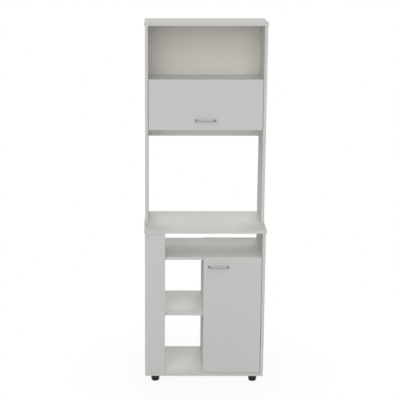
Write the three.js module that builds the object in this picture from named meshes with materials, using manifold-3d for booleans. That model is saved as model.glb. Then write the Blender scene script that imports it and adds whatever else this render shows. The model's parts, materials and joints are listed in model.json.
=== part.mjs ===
// Tall kitchen cabinet for a microwave oven: a base unit with an open column, a slot and a hinged
// door, and an open-backed hutch on its worktop with a microwave niche, a lift-up flap and a shelf.
// Millimetres, +Z up, front towards -Y. The origin is the middle of the footprint, on the floor.

import * as THREE from 'three';
import { mergeVertices } from 'three/addons/utils/BufferGeometryUtils.js';
import Module from 'manifold-3d';

const wasm = await Module();
wasm.setup();

// ---------------------------------------------------------------- driving dimensions

// Boards and running gaps.
const BOARD = 15;             // melamine-faced board, all structural panels
const BACK_BOARD = 3;         // hardboard back panels
const BACK_INSET = 3;         // rear plane to the back panel's rear face
const GROOVE_DEPTH = 6;       // how deep a back panel's edge sits in its groove
const FIT = 0.3;              // clearance between a piece and the hole or groove that holds it
const FRONT_GAP = 2;          // behind a closed door or flap, to the boards it covers
const SIDE_GAP = 2;           // around an inset door or flap

// Widths.
const CARCASE_WIDTH = 593;    // over the outer faces of the side panels
const SIDE_OVERHANG = 3.5;    // worktop and top board past each side panel
const FRONT_PANEL_WIDTH = 99.5;
const COLUMN_OPENING = 190.5; // front panel's edge to the divider

// Depths.
const BASE_DEPTH = 385;
const HUTCH_DEPTH = 260;
const WORKTOP_OVERHANG = 10;  // worktop past the base's front
const SHELF_REAR_GAP = 2;     // fixed shelves' rear edges to the back panel's face
const LOOSE_SHELF_SETBACK = 30; // loose shelf's rear edge to the back panel's face

// Heights, from the floor up.
const FOOT_HEIGHT = 30;
const LOWER_BAY = 300;
const MIDDLE_BAY = 274;
const SLOT_HEIGHT = 126;
const NICHE_HEIGHT = 474;
const FLAP_BAY = 210;
const TOP_BAY = 267;
const RAIL_HEIGHT = 73;
const DOOR_LAP = 3;           // door's top past the slot shelf's top
const FLAP_LAP = 9;           // flap's top past the hutch shelf's top
const LOOSE_SHELF_RISE = 260; // loose shelf's underside over the bottom board

// Feet.
const FOOT_TOP_RADIUS = 22;
const FOOT_BASE_RADIUS = 20;
const FOOT_EDGE_RADIUS = 6;
const FOOT_RECESS_RADIUS = 7;
const FOOT_RECESS_DEPTH = 18;
const FOOT_INSET_SIDE = 51.5; // foot's centre from the carcase's outer face
const FOOT_INSET_ENDS = 24;   // foot's centre from the carcase's front and rear
const FOOT_SIDES = 20;

// Bow handles.
const HANDLE_PITCH = 96;      // between fixing screws
const HANDLE_RADIUS = 4;
const HANDLE_FOOT_RADIUS = 5;
const HANDLE_FOOT_HEIGHT = 3;
const HANDLE_PROJECTION = 30;
const HANDLE_BEND = 9;
const HANDLE_SIDES = 16;
const HANDLE_STEPS = 44;
const DOOR_HANDLE_EDGE = 25;  // first screw from the door's free edge
const DOOR_HANDLE_DROP = 46;  // below the door's top
const FLAP_HANDLE_RISE = 50;  // above the flap's bottom

// Concealed cup hinges, measured from the panel's hinge edge and outer face.
const CUP_RADIUS = 17.5;
const CUP_CENTRE = 22.5;
const CUP_DEPTH = 11;
const CUP_WALL = 1.2;
const CUP_FLANGE = [18, 60];  // along the panel, along the hinge line
const CUP_SCREW_OFFSET = 6;
const CUP_SCREW_PITCH = 48;
const CUP_SIDES = 24;
const ARM_WIDTH = 12;
const ARM_NOSE = 8;           // nose's tip from the panel's outer face
const ARM_THICKNESS = 5;
const ARM_NOSE_CENTRE = 28.5; // nose's middle from the hinge edge
const PLATE_HEIGHT = 6;
const PLATE_START = 36;
const PLATE_LENGTH = 38;
const PLATE_WIDTH = 16;
const WING_LENGTH = 18;
const WING_SPAN = 46;         // along the hinge line
const WING_THICKNESS = 2;
const PLATE_SCREW_PITCH = 32;
const DOOR_HINGE_INSET = 90;  // hinge's middle from the door's top and bottom
const FLAP_HINGE_INSET = 80;  // hinge's middle from the flap's ends

// Gas stay of the flap, on the right side panel.
const STAY_FLAP_DROP = 40;    // flap-end pivot below the flap's top
const STAY_FLAP_DEPTH = 32;   // flap-end pivot behind the flap's front face
const STAY_REAR = 70;         // fixed pivot from the rear plane
const STAY_FALL = 49;         // fixed pivot below the hutch shelf's underside
const STAY_SIDE = 12;         // stay's axis from the side panel
const STAY_RADIUS = 6;
const STAY_ROD_RADIUS = 3;
const STAY_BODY_LENGTH = 138;
const STAY_EYE_RADIUS = 5;
const STAY_EYE_WIDTH = 6;
const STAY_STUD_RADIUS = 2.5;
const STAY_STUD_BITE = 8;
const STAY_WALL = 2;
const STAY_PLATE_WIDTH = 30;
const STAY_PLATE_HEIGHT = 20;
const STAY_PLATE_THICKNESS = 2;
const STAY_SIDES = 12;

// Fasteners and small fittings.
const HINGE_SCREW = { radius: 3.4, height: 1.4, sides: 8 };
const HANDLE_SCREW = { head: 4, headDepth: 2.2, shank: 1.9, length: 25, sides: 8 };
const FOOT_SCREW = { head: 4.5, headDepth: 2.4, shank: 2, length: 24, sides: 8 };
const PIN = { radius: 2.5, collar: 4, collarWidth: 1, bite: 8, reach: 8, sides: 12 };
const PIN_INSET = 45;         // shelf pin from the loose shelf's front and rear
const PIN_STEP = 32;          // between the shelf's height holes
const BUMPER = { radius: 4, height: 1.7, sides: 12, inset: 7, along: 28 };

// ---------------------------------------------------------------- places worked out from them

const outer = CARCASE_WIDTH / 2;
const inner = outer - BOARD;
const topHalf = outer + SIDE_OVERHANG;
const frontPanelEdge = -outer + FRONT_PANEL_WIDTH;
const dividerLeft = frontPanelEdge + COLUMN_OPENING;
const dividerRight = dividerLeft + BOARD;

const baseFront = -BASE_DEPTH;
const doorBack = baseFront + BOARD;
const baseInnerFront = doorBack + FRONT_GAP;
const hutchFront = -HUTCH_DEPTH;
const flapBack = hutchFront + BOARD;
const hutchInnerFront = flapBack + FRONT_GAP;
const backPanelFront = -BACK_INSET - BACK_BOARD;

const bottomZ = FOOT_HEIGHT;
const baseFloor = bottomZ + BOARD;
const middleZ = baseFloor + LOWER_BAY;
const slotZ = middleZ + BOARD + MIDDLE_BAY;
const slotTop = slotZ + BOARD;
const worktopZ = slotTop + SLOT_HEIGHT;
const worktopTop = worktopZ + BOARD;
const hutchFloorZ = worktopTop + NICHE_HEIGHT;
const hutchFloorTop = hutchFloorZ + BOARD;
const hutchShelfZ = hutchFloorTop + FLAP_BAY;
const hutchShelfTop = hutchShelfZ + BOARD;
const topZ = hutchShelfTop + TOP_BAY;
const topTop = topZ + BOARD;
const looseShelfZ = baseFloor + LOOSE_SHELF_RISE;

const doorEdge = inner - SIDE_GAP;
const doorBottom = baseFloor + SIDE_GAP;
const doorTop = slotTop + DOOR_LAP;
const flapTop = hutchShelfTop + FLAP_LAP;
const flapHalf = inner - SIDE_GAP;

// ---------------------------------------------------------------- materials

const finish = (color, roughness, metalness = 0) =>
  new THREE.MeshStandardMaterial({ color, roughness, metalness });
const MELAMINE = finish(0xd9d9d6, 0.45);
const HARDBOARD = finish(0xd2d1cc, 0.55);
const STEEL = finish(0xa9aaac, 0.3, 1);
const SATIN_CHROME = finish(0xb9babb, 0.25, 1);
const BLACK_PLASTIC = finish(0x151515, 0.4);
const RUBBER = finish(0xe6e6e2, 0.6);
const BLACK_STEEL = finish(0x1c1c1e, 0.35, 0.6);

// ---------------------------------------------------------------- solids and cuts

const WELD = 1e-3;            // vertices closer than this are one

// A closed three.js geometry as a solid that can be joined and cut.
function solid(geometry) {
  const bare = geometry.index ? geometry.toNonIndexed() : geometry.clone();
  bare.deleteAttribute('normal');
  bare.deleteAttribute('uv');
  const merged = mergeVertices(bare, WELD);
  return new wasm.Manifold(new wasm.Mesh({
    numProp: 3,
    vertProperties: new Float32Array(merged.attributes.position.array),
    triVerts: new Uint32Array(merged.index.array),
  }));
}

// A solid back to a three.js geometry.
function shape(manifold) {
  const mesh = manifold.getMesh();
  const geometry = new THREE.BufferGeometry();
  geometry.setAttribute('position', new THREE.BufferAttribute(mesh.vertProperties, 3));
  geometry.setIndex(new THREE.BufferAttribute(mesh.triVerts, 1));
  return geometry;
}

const cut = (geometry, tools) =>
  shape(tools.reduce((body, tool) => body.subtract(solid(tool)), solid(geometry)));
const join = (first, ...rest) =>
  shape(rest.reduce((body, piece) => body.add(solid(piece)), solid(first)));

// A box given by its lowest and highest corners.
function box([x0, y0, z0], [x1, y1, z1]) {
  const geometry = new THREE.BoxGeometry(x1 - x0, y1 - y0, z1 - z0);
  return geometry.translate((x0 + x1) / 2, (y0 + y1) / 2, (z0 + z1) / 2);
}

// A turned piece: profile points [radius, height] from axis to axis, standing on the XY plane.
function turned(profile, sides) {
  const points = profile.map(([radius, height]) => new THREE.Vector2(radius, height));
  return new THREE.LatheGeometry(points, sides).rotateX(Math.PI / 2);
}

// Stand a piece that points along +Z at a place, pointing along a direction.
function aim(geometry, place, direction) {
  const turn = new THREE.Quaternion().setFromUnitVectors(
    new THREE.Vector3(0, 0, 1), new THREE.Vector3(...direction).normalize());
  return geometry.clone().applyQuaternion(turn).translate(...place);
}

const rod = (radius, length, sides) =>
  turned([[0, 0], [radius, 0], [radius, length], [0, length]], sides);

// A screw whose head lies at its place and whose shank runs along its direction. With ease it is
// the cutter for its own countersunk hole.
function screw({ head, headDepth, shank, length, sides }, ease = 0) {
  return turned([
    [0, -ease], [head + ease, -ease], [head + ease, headDepth / 2],
    [shank + ease, headDepth + ease], [shank + ease, length + ease], [0, length + ease],
  ], sides);
}

const nodes = [];
function add(name, geometry, material) {
  const mesh = new THREE.Mesh(geometry, material);
  mesh.name = name;
  nodes.push(mesh);
  return mesh;
}

const RIGHTWARD = [1, 0, 0];
const LEFTWARD = [-1, 0, 0];
const DOWN = [0, 0, -1];
const BACK = [0, 1, 0];
const FORWARD = [0, -1, 0];
const pair = (pitch) => [-pitch / 2, pitch / 2];

// ---------------------------------------------------------------- feet

const footX = outer - FOOT_INSET_SIDE;
const footPlaces = {
  front_left: [-footX, baseFront + FOOT_INSET_ENDS],
  front_right: [footX, baseFront + FOOT_INSET_ENDS],
  rear_left: [-footX, -FOOT_INSET_ENDS],
  rear_right: [footX, -FOOT_INSET_ENDS],
};
const footHole = FOOT_SCREW.shank + FIT;
const footEdge = [0, 0.5, 1].map((t) => {
  const angle = t * Math.PI / 2;
  return [
    FOOT_BASE_RADIUS - FOOT_EDGE_RADIUS + FOOT_EDGE_RADIUS * Math.sin(angle),
    FOOT_EDGE_RADIUS * (1 - Math.cos(angle)),
  ];
});
const foot = turned([
  [footHole, FOOT_RECESS_DEPTH], [FOOT_RECESS_RADIUS, FOOT_RECESS_DEPTH], [FOOT_RECESS_RADIUS, 0],
  ...footEdge,
  [FOOT_TOP_RADIUS, FOOT_HEIGHT - FOOT_EDGE_RADIUS], [FOOT_TOP_RADIUS, FOOT_HEIGHT],
  [footHole, FOOT_HEIGHT], [footHole, FOOT_RECESS_DEPTH],
], FOOT_SIDES);
const footScrewRise = FOOT_RECESS_DEPTH - FOOT_SCREW.headDepth - FIT;

for (const [name, [x, y]] of Object.entries(footPlaces)) {
  add(`foot_${name}`, foot, BLACK_PLASTIC).position.set(x, y, 0);
  add(`foot_screw_${name}`, screw(FOOT_SCREW), STEEL).position.set(x, y, footScrewRise);
}
const footScrewHoles = Object.values(footPlaces).map(([x, y]) =>
  screw(FOOT_SCREW, FIT).translate(x, y, footScrewRise));

// ---------------------------------------------------------------- base unit

const fixedShelfRear = backPanelFront - SHELF_REAR_GAP;
const grooveFront = backPanelFront - FIT;
const grooveRear = -BACK_INSET + FIT;
const baseGroove = box(
  [dividerRight - GROOVE_DEPTH, grooveFront, baseFloor - GROOVE_DEPTH],
  [inner + GROOVE_DEPTH, grooveRear, slotTop + FIT]);

// Height holes for the loose shelf's pins, in the divider and the right side panel.
const looseShelfFront = baseInnerFront + FRONT_GAP;
const looseShelfRear = backPanelFront - LOOSE_SHELF_SETBACK;
const pinY = { front: looseShelfFront + PIN_INSET, rear: looseShelfRear - PIN_INSET };
const pinZ = looseShelfZ - PIN.radius;
const pinHole = rod(PIN.radius + FIT, PIN.bite + 2 * FIT, PIN.sides).translate(0, 0, -FIT);
const pinHoles = Object.values(pinY).flatMap((y) => [-1, 0, 1].flatMap((step) => [
  aim(pinHole, [dividerRight, y, pinZ + step * PIN_STEP], LEFTWARD),
  aim(pinHole, [inner, y, pinZ + step * PIN_STEP], RIGHTWARD),
]));

add('bottom_board', cut(box([-outer, baseFront, bottomZ], [outer, 0, baseFloor]),
  [baseGroove, ...footScrewHoles]), MELAMINE);
add('base_side_left', box([-outer, doorBack, baseFloor], [-inner, 0, worktopZ]), MELAMINE);
add('base_side_right', cut(box([inner, baseFront, baseFloor], [outer, 0, worktopZ]),
  [baseGroove, ...pinHoles]), MELAMINE);
add('left_front_panel', box([-outer, baseFront, baseFloor], [frontPanelEdge, doorBack, worktopZ]),
  MELAMINE);
add('divider', cut(box([dividerLeft, baseInnerFront, baseFloor], [dividerRight, 0, slotZ]),
  [baseGroove, ...pinHoles]), MELAMINE);
add('middle_shelf', box([-inner, baseInnerFront, middleZ],
  [dividerLeft, fixedShelfRear, middleZ + BOARD]), MELAMINE);
add('slot_shelf', box([-inner, baseInnerFront, slotZ], [inner, fixedShelfRear, slotTop]), MELAMINE);
add('base_back_panel', box(
  [dividerRight - GROOVE_DEPTH + FIT, backPanelFront, baseFloor - GROOVE_DEPTH + FIT],
  [inner + GROOVE_DEPTH - FIT, -BACK_INSET, slotTop]), HARDBOARD);
add('loose_shelf', box([dividerRight + FIT + PIN.collarWidth, looseShelfFront, looseShelfZ],
  [inner - FIT - PIN.collarWidth, looseShelfRear, looseShelfZ + BOARD]), MELAMINE);
add('worktop', box([-topHalf, baseFront - WORKTOP_OVERHANG, worktopZ], [topHalf, 0, worktopTop]),
  MELAMINE);

// A shelf pin: a shank in the board, a thin collar against its face and a peg under the shelf.
const pin = turned([
  [0, -PIN.bite], [PIN.radius, -PIN.bite], [PIN.radius, 0], [PIN.collar, 0],
  [PIN.collar, PIN.collarWidth], [PIN.radius, PIN.collarWidth], [PIN.radius, PIN.reach], [0, PIN.reach],
], PIN.sides);
for (const [row, y] of Object.entries(pinY)) {
  add(`shelf_pin_left_${row}`, aim(pin, [dividerRight, y, pinZ], RIGHTWARD), STEEL);
  add(`shelf_pin_right_${row}`, aim(pin, [inner, y, pinZ], LEFTWARD), STEEL);
}

// ---------------------------------------------------------------- hutch

const hutchGroove = box(
  [-inner - GROOVE_DEPTH, grooveFront, hutchFloorTop - GROOVE_DEPTH],
  [inner + GROOVE_DEPTH, grooveRear, topZ + GROOVE_DEPTH]);

// The gas stay's two pivots; a stud screwed into the right side panel carries the fixed one.
const stayX = inner - STAY_SIDE;
const stayFixed = [stayX, -STAY_REAR, hutchShelfZ - STAY_FALL];
const stayMoving = [stayX, hutchFront + STAY_FLAP_DEPTH, flapTop - STAY_FLAP_DROP];
const stayStudPlace = [inner, stayFixed[1], stayFixed[2]];
const stayStudHole = aim(
  rod(STAY_STUD_RADIUS + FIT, STAY_STUD_BITE + 2 * FIT, STAY_SIDES).translate(0, 0, -FIT),
  stayStudPlace, RIGHTWARD);

for (const [name, x0, x1] of [['left', -outer, -inner], ['right', inner, outer]]) {
  add(`hutch_side_${name}`, cut(box([x0, hutchFront, worktopTop], [x1, 0, topZ]),
    [hutchGroove, stayStudHole]), MELAMINE);
}
add('hutch_floor', cut(box([-inner, hutchInnerFront, hutchFloorZ], [inner, 0, hutchFloorTop]),
  [hutchGroove]), MELAMINE);
add('hutch_shelf', box([-inner, hutchInnerFront, hutchShelfZ],
  [inner, backPanelFront - FIT, hutchShelfTop]), MELAMINE);
add('rear_rail', box([-inner, -BOARD, hutchFloorZ - RAIL_HEIGHT], [inner, 0, hutchFloorZ]), MELAMINE);
add('hutch_back_panel', box(
  [-inner - GROOVE_DEPTH + FIT, backPanelFront, hutchFloorTop - GROOVE_DEPTH + FIT],
  [inner + GROOVE_DEPTH - FIT, -BACK_INSET, topZ + GROOVE_DEPTH - FIT]), HARDBOARD);
add('top_board', cut(box([-topHalf, hutchFront, topZ], [topHalf, 0, topTop]), [hutchGroove]), MELAMINE);

// ---------------------------------------------------------------- concealed hinges

// A hinge's own frame: X from the panel's hinge edge into the panel, Y from the panel's outer
// face into the cabinet, Z along the hinge line. The effective axis is the corner at X 0, Y 0.
const alongY = (geometry) => geometry.rotateX(-Math.PI / 2);
const flangeTop = BOARD + CUP_WALL;
const cupFloor = BOARD - CUP_DEPTH;
const cupScrewX = CUP_CENTRE + CUP_SCREW_OFFSET;
const cupBore = alongY(rod(CUP_RADIUS + FIT, CUP_DEPTH + 2 * FIT, CUP_SIDES))
  .translate(CUP_CENTRE, cupFloor - FIT, 0);
const cupHollow = alongY(rod(CUP_RADIUS - CUP_WALL, CUP_DEPTH + CUP_WALL, CUP_SIDES))
  .translate(CUP_CENTRE, cupFloor + CUP_WALL, 0);
const [flangeLength, flangeSpan] = CUP_FLANGE;
const screwHead = rod(HINGE_SCREW.radius, HINGE_SCREW.height + CUP_WALL / 2, HINGE_SCREW.sides);

// The cup: a pressed steel bowl with its flange and the two screws that hold it.
const cup = join(
  cut(
    join(
      alongY(rod(CUP_RADIUS, CUP_DEPTH + CUP_WALL, CUP_SIDES)).translate(CUP_CENTRE, cupFloor, 0),
      box([cupScrewX - flangeLength / 2, BOARD, -flangeSpan / 2],
        [cupScrewX + flangeLength / 2, flangeTop, flangeSpan / 2])),
    [cupHollow]),
  ...pair(CUP_SCREW_PITCH).map((step) =>
    aim(screwHead, [cupScrewX, flangeTop - CUP_WALL / 2, step], BACK)));

// The mounting plate on the cabinet's board, with its two wings and their screws.
const plateMiddle = PLATE_START + PLATE_LENGTH / 2;
const plateEnd = PLATE_START + PLATE_LENGTH;
function hingePlate(seat) {
  const block = box([seat, PLATE_START, -PLATE_WIDTH / 2],
    [seat + PLATE_HEIGHT, plateEnd, PLATE_WIDTH / 2]);
  const wings = box([seat, plateMiddle - WING_LENGTH / 2, -WING_SPAN / 2],
    [seat + WING_THICKNESS, plateMiddle + WING_LENGTH / 2, WING_SPAN / 2]);
  const heads = pair(PLATE_SCREW_PITCH).map((step) =>
    aim(screwHead, [seat + WING_THICKNESS - CUP_WALL / 2, plateMiddle, step], RIGHTWARD));
  return join(block, wings, ...heads);
}

// The arm: a pressed channel that lies on the plate and is cranked into the cup.
function hingeArm(seat) {
  const low = seat + PLATE_HEIGHT;
  const noseLow = ARM_NOSE_CENTRE - ARM_THICKNESS / 2;
  const noseHigh = ARM_NOSE_CENTRE + ARM_THICKNESS / 2;
  const bend = flangeTop + FRONT_GAP;
  const outline = new THREE.Shape([
    [noseLow, ARM_NOSE], [noseHigh, ARM_NOSE], [noseHigh, bend + ARM_THICKNESS / 2],
    [low + ARM_THICKNESS, PLATE_START], [low + ARM_THICKNESS, plateEnd], [low, plateEnd],
    [low, PLATE_START - ARM_THICKNESS / 2], [noseLow, bend],
  ].map(([x, y]) => new THREE.Vector2(x, y)));
  return new THREE.ExtrudeGeometry(outline, { depth: ARM_WIDTH, bevelEnabled: false })
    .translate(0, 0, -ARM_WIDTH / 2);
}

// A hinge's frame set in the cabinet: the door's hinges stand upright, the flap's lie level.
function hingeFrame(place, into) {
  const xAxis = new THREE.Vector3(...into);
  const yAxis = new THREE.Vector3(...BACK);
  const zAxis = new THREE.Vector3().crossVectors(xAxis, yAxis);
  return new THREE.Matrix4().makeBasis(xAxis, yAxis, zAxis).setPosition(...place);
}
const doorHinges = {
  upper: hingeFrame([doorEdge, baseFront, doorTop - DOOR_HINGE_INSET], LEFTWARD),
  lower: hingeFrame([doorEdge, baseFront, doorBottom + DOOR_HINGE_INSET], LEFTWARD),
};
const flapHinges = {
  left: hingeFrame([-flapHalf + FLAP_HINGE_INSET, hutchFront, flapTop], DOWN),
  right: hingeFrame([flapHalf - FLAP_HINGE_INSET, hutchFront, flapTop], DOWN),
};

function addHinges(panel, frames, seat) {
  const pieces = { cup, arm: hingeArm(seat), plate: hingePlate(seat) };
  for (const [name, frame] of Object.entries(frames)) {
    for (const [part, geometry] of Object.entries(pieces)) {
      add(`${panel}_hinge_${part}_${name}`, geometry, STEEL).applyMatrix4(frame);
    }
  }
}
addHinges('door', doorHinges, -SIDE_GAP);
addHinges('flap', flapHinges, FLAP_LAP + BOARD);
const cupBores = (frames) => Object.values(frames).map((frame) => cupBore.clone().applyMatrix4(frame));

// ---------------------------------------------------------------- handles

// A bow handle along X on a front face at Y 0: two flared legs, two bends and a straight bar.
function bowHandle() {
  const half = HANDLE_PITCH / 2;
  const out = HANDLE_PROJECTION - HANDLE_RADIUS;
  const bendStart = out - HANDLE_BEND;
  const at = (x, y) => new THREE.Vector3(x, -y, 0);
  const path = new THREE.CurvePath();
  path.add(new THREE.LineCurve3(at(-half, HANDLE_FOOT_HEIGHT), at(-half, bendStart)));
  path.add(new THREE.QuadraticBezierCurve3(
    at(-half, bendStart), at(-half, out), at(HANDLE_BEND - half, out)));
  path.add(new THREE.LineCurve3(at(HANDLE_BEND - half, out), at(half - HANDLE_BEND, out)));
  path.add(new THREE.QuadraticBezierCurve3(
    at(half - HANDLE_BEND, out), at(half, out), at(half, bendStart)));
  path.add(new THREE.LineCurve3(at(half, bendStart), at(half, HANDLE_FOOT_HEIGHT)));
  const section = new THREE.Shape();
  section.absarc(0, 0, HANDLE_RADIUS, 0, 2 * Math.PI, false);
  const bar = new THREE.ExtrudeGeometry(section, {
    extrudePath: path, steps: HANDLE_STEPS, curveSegments: HANDLE_SIDES / 2, bevelEnabled: false });
  const leg = rod(HANDLE_FOOT_RADIUS, HANDLE_FOOT_HEIGHT + FIT, HANDLE_SIDES);
  const bore = rod(HANDLE_SCREW.shank + FIT, HANDLE_SCREW.length - BOARD + FIT, HANDLE_SCREW.sides)
    .translate(0, 0, -FIT);
  const ends = pair(HANDLE_PITCH);
  return cut(join(bar, ...ends.map((x) => aim(leg, [x, 0, 0], FORWARD))),
    ends.map((x) => aim(bore, [x, 0, 0], FORWARD)));
}
const handle = bowHandle();
const handlePlaces = {
  door: [dividerLeft + DOOR_HANDLE_EDGE + HANDLE_PITCH / 2, baseFront, doorTop - DOOR_HANDLE_DROP],
  flap: [0, hutchFront, hutchFloorZ + FLAP_HANDLE_RISE],
};
// The screws come through the panel from behind, heads on its inner face.
const handleScrewY = BOARD + HANDLE_SCREW.headDepth + FIT;
const handleScrews = ([x, y, z], ease = 0) => pair(HANDLE_PITCH).map((step) =>
  aim(screw(HANDLE_SCREW, ease), [x + step, y + handleScrewY, z], FORWARD));

for (const [panel, place] of Object.entries(handlePlaces)) {
  add(`${panel}_handle`, handle, SATIN_CHROME).position.set(...place);
  handleScrews(place).forEach((geometry, index) =>
    add(`${panel}_handle_screw_${['left', 'right'][index]}`, geometry, STEEL));
}

// ---------------------------------------------------------------- door and flap

add('door', cut(box([dividerLeft, baseFront, doorBottom], [doorEdge, doorBack, doorTop]),
  [...cupBores(doorHinges), ...handleScrews(handlePlaces.door, FIT)]), MELAMINE);
add('flap', cut(box([-flapHalf, hutchFront, hutchFloorZ], [flapHalf, flapBack, flapTop]),
  [...cupBores(flapHinges), ...handleScrews(handlePlaces.flap, FIT)]), MELAMINE);

// Soft bumpers on the closing corners take up the gap behind each panel.
const bumper = rod(BUMPER.radius, BUMPER.height, BUMPER.sides);
const bumperPlaces = {
  door_bumper_lower: [dividerLeft + BOARD / 2, doorBack, doorBottom + BUMPER.along],
  door_bumper_upper: [dividerLeft + BOARD / 2, doorBack, slotZ + BOARD / 2],
  flap_bumper_left: [BUMPER.along - flapHalf, flapBack, hutchFloorZ + BUMPER.inset],
  flap_bumper_right: [flapHalf - BUMPER.along, flapBack, hutchFloorZ + BUMPER.inset],
};
for (const [name, place] of Object.entries(bumperPlaces)) {
  add(name, aim(bumper, place, BACK), RUBBER);
}

// ---------------------------------------------------------------- gas stay

const stayLine = new THREE.Vector3(...stayMoving).sub(new THREE.Vector3(...stayFixed));
const stayLength = stayLine.length();
const stayWay = stayLine.toArray();
const eye = (place) => aim(rod(STAY_EYE_RADIUS, STAY_EYE_WIDTH, STAY_SIDES)
  .translate(0, 0, -STAY_EYE_WIDTH / 2), place, RIGHTWARD);
const studBore = aim(rod(STAY_STUD_RADIUS + FIT, 2 * STAY_EYE_WIDTH, STAY_SIDES)
  .translate(0, 0, -STAY_EYE_WIDTH), stayFixed, RIGHTWARD);

// The cylinder, open at the rod's end, with its eye on the side panel's stud.
const rodBore = STAY_ROD_RADIUS + FIT;
const bodyStart = STAY_EYE_RADIUS - STAY_WALL / 2;
const boreStart = bodyStart + STAY_RADIUS;
const cylinder = turned([
  [0, bodyStart], [STAY_RADIUS, bodyStart], [STAY_RADIUS, STAY_BODY_LENGTH],
  [rodBore, STAY_BODY_LENGTH], [rodBore, boreStart], [0, boreStart],
], STAY_SIDES);
add('flap_stay_cylinder', cut(join(aim(cylinder, stayFixed, stayWay), eye(stayFixed)),
  [studBore]), BLACK_STEEL);

// The rod, from inside the cylinder to its own eye beside the flap's bracket.
const rodStart = boreStart + STAY_RADIUS;
const stayRod = rod(STAY_ROD_RADIUS, stayLength - rodStart - STAY_WALL, STAY_SIDES);
add('flap_stay_rod', join(aim(stayRod.translate(0, 0, rodStart), stayFixed, stayWay),
  eye(stayMoving)), SATIN_CHROME);

// The stud: screwed into the side panel, with a collar on its face.
const studReach = STAY_SIDE + STAY_EYE_WIDTH / 2;
add('flap_stay_stud', aim(turned([
  [0, -STAY_STUD_BITE], [STAY_STUD_RADIUS, -STAY_STUD_BITE], [STAY_STUD_RADIUS, 0],
  [STAY_EYE_RADIUS, 0], [STAY_EYE_RADIUS, STAY_WALL], [STAY_STUD_RADIUS, STAY_WALL],
  [STAY_STUD_RADIUS, studReach], [0, studReach],
], STAY_SIDES), stayStudPlace, LEFTWARD), STEEL);

// The flap's bracket: a screwed foot and an ear that stands beside the rod's eye.
const earHigh = stayX - STAY_EYE_WIDTH / 2 - FIT;
const earLow = earHigh - STAY_PLATE_THICKNESS;
const bracketLow = stayMoving[2] - STAY_PLATE_HEIGHT / 2;
const bracketHigh = stayMoving[2] + STAY_PLATE_HEIGHT / 2;
const bracketHeads = pair(STAY_PLATE_HEIGHT / 2).map((step) => aim(screwHead,
  [earHigh - STAY_PLATE_WIDTH / 2, flapBack + STAY_PLATE_THICKNESS - CUP_WALL / 2,
    stayMoving[2] + step], BACK));
add('flap_stay_bracket', join(
  box([earHigh - STAY_PLATE_WIDTH, flapBack, bracketLow],
    [earHigh, flapBack + STAY_PLATE_THICKNESS, bracketHigh]),
  box([earLow, flapBack, bracketLow], [earHigh, stayMoving[1] + STAY_EYE_RADIUS, bracketHigh]),
  ...bracketHeads), STEEL);

// ---------------------------------------------------------------- the cabinet

// The rear plane is at Y 0 above; the origin moves to the middle of the footprint, handle included.
const cabinet = new THREE.Group();
cabinet.name = 'microwave_cabinet';
cabinet.add(...nodes);
cabinet.position.y = (BASE_DEPTH + HANDLE_PROJECTION) / 2;

export default cabinet;
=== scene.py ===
import json
import math

import bmesh
import bpy
from mathutils import Matrix, Vector

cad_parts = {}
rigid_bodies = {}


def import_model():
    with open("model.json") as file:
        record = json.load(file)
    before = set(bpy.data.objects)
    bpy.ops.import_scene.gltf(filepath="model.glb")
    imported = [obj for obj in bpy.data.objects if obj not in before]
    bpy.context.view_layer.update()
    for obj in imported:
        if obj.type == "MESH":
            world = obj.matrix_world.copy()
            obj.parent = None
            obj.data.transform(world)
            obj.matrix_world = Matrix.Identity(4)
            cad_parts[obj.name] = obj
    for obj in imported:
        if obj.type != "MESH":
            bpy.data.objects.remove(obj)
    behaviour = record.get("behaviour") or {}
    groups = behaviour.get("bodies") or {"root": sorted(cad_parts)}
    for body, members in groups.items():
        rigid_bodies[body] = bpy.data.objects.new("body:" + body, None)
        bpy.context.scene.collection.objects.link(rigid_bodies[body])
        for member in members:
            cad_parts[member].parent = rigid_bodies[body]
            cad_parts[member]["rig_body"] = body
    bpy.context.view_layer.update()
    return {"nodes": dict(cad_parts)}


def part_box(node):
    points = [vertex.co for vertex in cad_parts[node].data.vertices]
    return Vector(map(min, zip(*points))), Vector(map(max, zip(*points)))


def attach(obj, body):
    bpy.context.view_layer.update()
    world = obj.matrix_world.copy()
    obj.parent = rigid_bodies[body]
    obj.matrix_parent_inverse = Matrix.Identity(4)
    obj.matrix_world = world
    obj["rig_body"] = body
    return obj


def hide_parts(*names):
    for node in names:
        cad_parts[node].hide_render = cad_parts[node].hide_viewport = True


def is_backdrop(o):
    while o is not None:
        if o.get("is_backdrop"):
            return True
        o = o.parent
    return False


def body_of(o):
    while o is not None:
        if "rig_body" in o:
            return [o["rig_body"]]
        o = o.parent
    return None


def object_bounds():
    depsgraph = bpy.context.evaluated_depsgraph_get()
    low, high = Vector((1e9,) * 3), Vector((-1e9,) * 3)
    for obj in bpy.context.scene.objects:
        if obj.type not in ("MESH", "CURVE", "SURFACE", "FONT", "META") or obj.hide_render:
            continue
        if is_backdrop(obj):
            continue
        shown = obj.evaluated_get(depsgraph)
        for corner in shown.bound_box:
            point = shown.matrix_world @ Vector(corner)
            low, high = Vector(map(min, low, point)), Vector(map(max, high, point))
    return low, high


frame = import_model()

scene = bpy.context.scene
scene.view_settings.view_transform = "Standard"

# ---------------------------------------------------------------- camera
# A long lens nearly six metres in front of the cabinet, half a metre above its top and looking down
# on it. The lens is shifted sideways, so that the front stays square to the picture.

camera_data = bpy.data.cameras.new("camera")
camera_data.lens = 106.92
camera_data.sensor_width = 36
camera_data.shift_x = 0.1162
camera = bpy.data.objects.new("camera", camera_data)
camera.location = (-0.2179, -5.7938, 2.2915)
camera_tilt = math.radians(13.513)
camera_turn = math.radians(0.3685)
camera.rotation_euler = (math.pi / 2 - camera_tilt, 0, camera_turn)
scene.collection.objects.link(camera)
scene.camera = camera

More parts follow.
